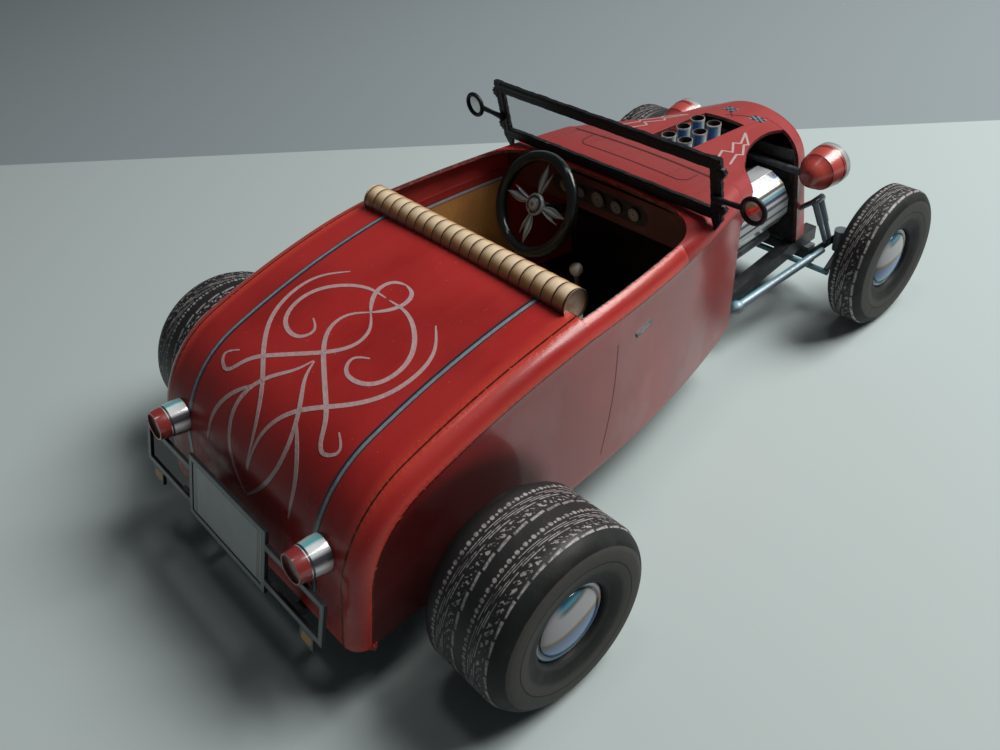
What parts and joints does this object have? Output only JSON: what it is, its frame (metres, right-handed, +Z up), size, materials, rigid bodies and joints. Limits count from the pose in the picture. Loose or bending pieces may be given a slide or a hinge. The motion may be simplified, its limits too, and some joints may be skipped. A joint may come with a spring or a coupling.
{
  "type": "street rod roadster card model",
  "caption": "Card scale model of an open two-seat street rod with an exposed engine, a folded windscreen and wide rear wheels that turn.",
  "frame": {"origin": "on the floor, under the middle of the model", "axes": "+X forward, +Y to the car's left, +Z up"},
  "size_m": [0.1462, 0.0974, 0.0533],
  "materials": {
    "red_card": "glossy varnished red card",
    "black_card": "matt black card",
    "frame_card": "dark grey card",
    "tyre_card": "black card printed with a pale tread",
    "chrome_print": "card printed with blue, white and black stripes like chrome",
    "cream_card": "cream card printed with black rib lines",
    "ochre_card": "ochre card",
    "clear_film": "clear film",
    "white_card": "white card",
    "red_print": "red card printed like a lens",
    "amber_print": "card printed amber",
    "dash_card": "dark red card",
    "blue_grey_card": "blue grey card"
  },
  "bodies": {
    "car": {"body_shoulder_left": "red_card", "body_shoulder_right": "red_card", "body_side_left": "red_card", "body_side_right": "red_card", "bumper_brackets": "frame_card", "chassis_frame": "frame_card", "cowl_panel": "red_card", "dashboard": "dash_card", "deck_panel": "red_card", "door_cards": "ochre_card", "engine_block": "frame_card", "exhaust_headers": "chrome_print", "firewall": "black_card", "floor_pan": "black_card", "front_axle": "frame_card", "front_spring": "frame_card", "gear_lever": "white_card", "grille": "chrome_print", "headlight_bar": "frame_card", "headlight_left": "red_card", "headlight_lenses": "white_card", "headlight_right": "red_card", "hood_shell": "red_card", "instrument_cluster": "black_card", "intake_manifold": "frame_card", "intake_stacks": "chrome_print", "marker_tabs": "amber_print", "mirrors": "black_card", "number_plate": "white_card", "radiator": "black_card", "radius_rods": "chrome_print", "rear_axle": "frame_card", "rear_bumper": "blue_grey_card", "seat_back": "cream_card", "seat_bulkhead": "black_card", "seat_cushion": "cream_card", "seat_roll": "cream_card", "shock_absorbers": "blue_grey_card", "steering_column": "black_card", "steering_knuckles": "frame_card", "steering_spokes": "chrome_print", "steering_wheel": "black_card", "tail_lamp_lenses": "red_print", "tail_lamps": "chrome_print", "tie_rod": "chrome_print", "valve_covers": "chrome_print", "windscreen_frame": "black_card", "windscreen_glass": "clear_film"},
    "wheel_rear_left": {"tyre_rear_left": "tyre_card", "hubcap_rear_left": "chrome_print"},
    "wheel_rear_right": {"tyre_rear_right": "tyre_card", "hubcap_rear_right": "chrome_print"},
    "wheel_front_left": {"tyre_front_left": "tyre_card", "hubcap_front_left": "chrome_print"},
    "wheel_front_right": {"tyre_front_right": "tyre_card", "hubcap_front_right": "chrome_print"}
  },
  "joints": [
    {"name": "rear_left_wheel_spin", "type": "hinge", "parent": "car", "child": "wheel_rear_left", "pos_m": [-0.04583, 0.04, 0.01487], "axis": [0, 1, 0], "continuous": true},
    {"name": "rear_right_wheel_spin", "type": "hinge", "parent": "car", "child": "wheel_rear_right", "pos_m": [-0.04583, -0.04, 0.01487], "axis": [0, 1, 0], "continuous": true},
    {"name": "front_left_wheel_spin", "type": "hinge", "parent": "car", "child": "wheel_front_left", "pos_m": [0.05917, 0.031, 0.01395], "axis": [0, 1, 0], "continuous": true},
    {"name": "front_right_wheel_spin", "type": "hinge", "parent": "car", "child": "wheel_front_right", "pos_m": [0.05917, -0.031, 0.01395], "axis": [0, 1, 0], "continuous": true}
  ]
}
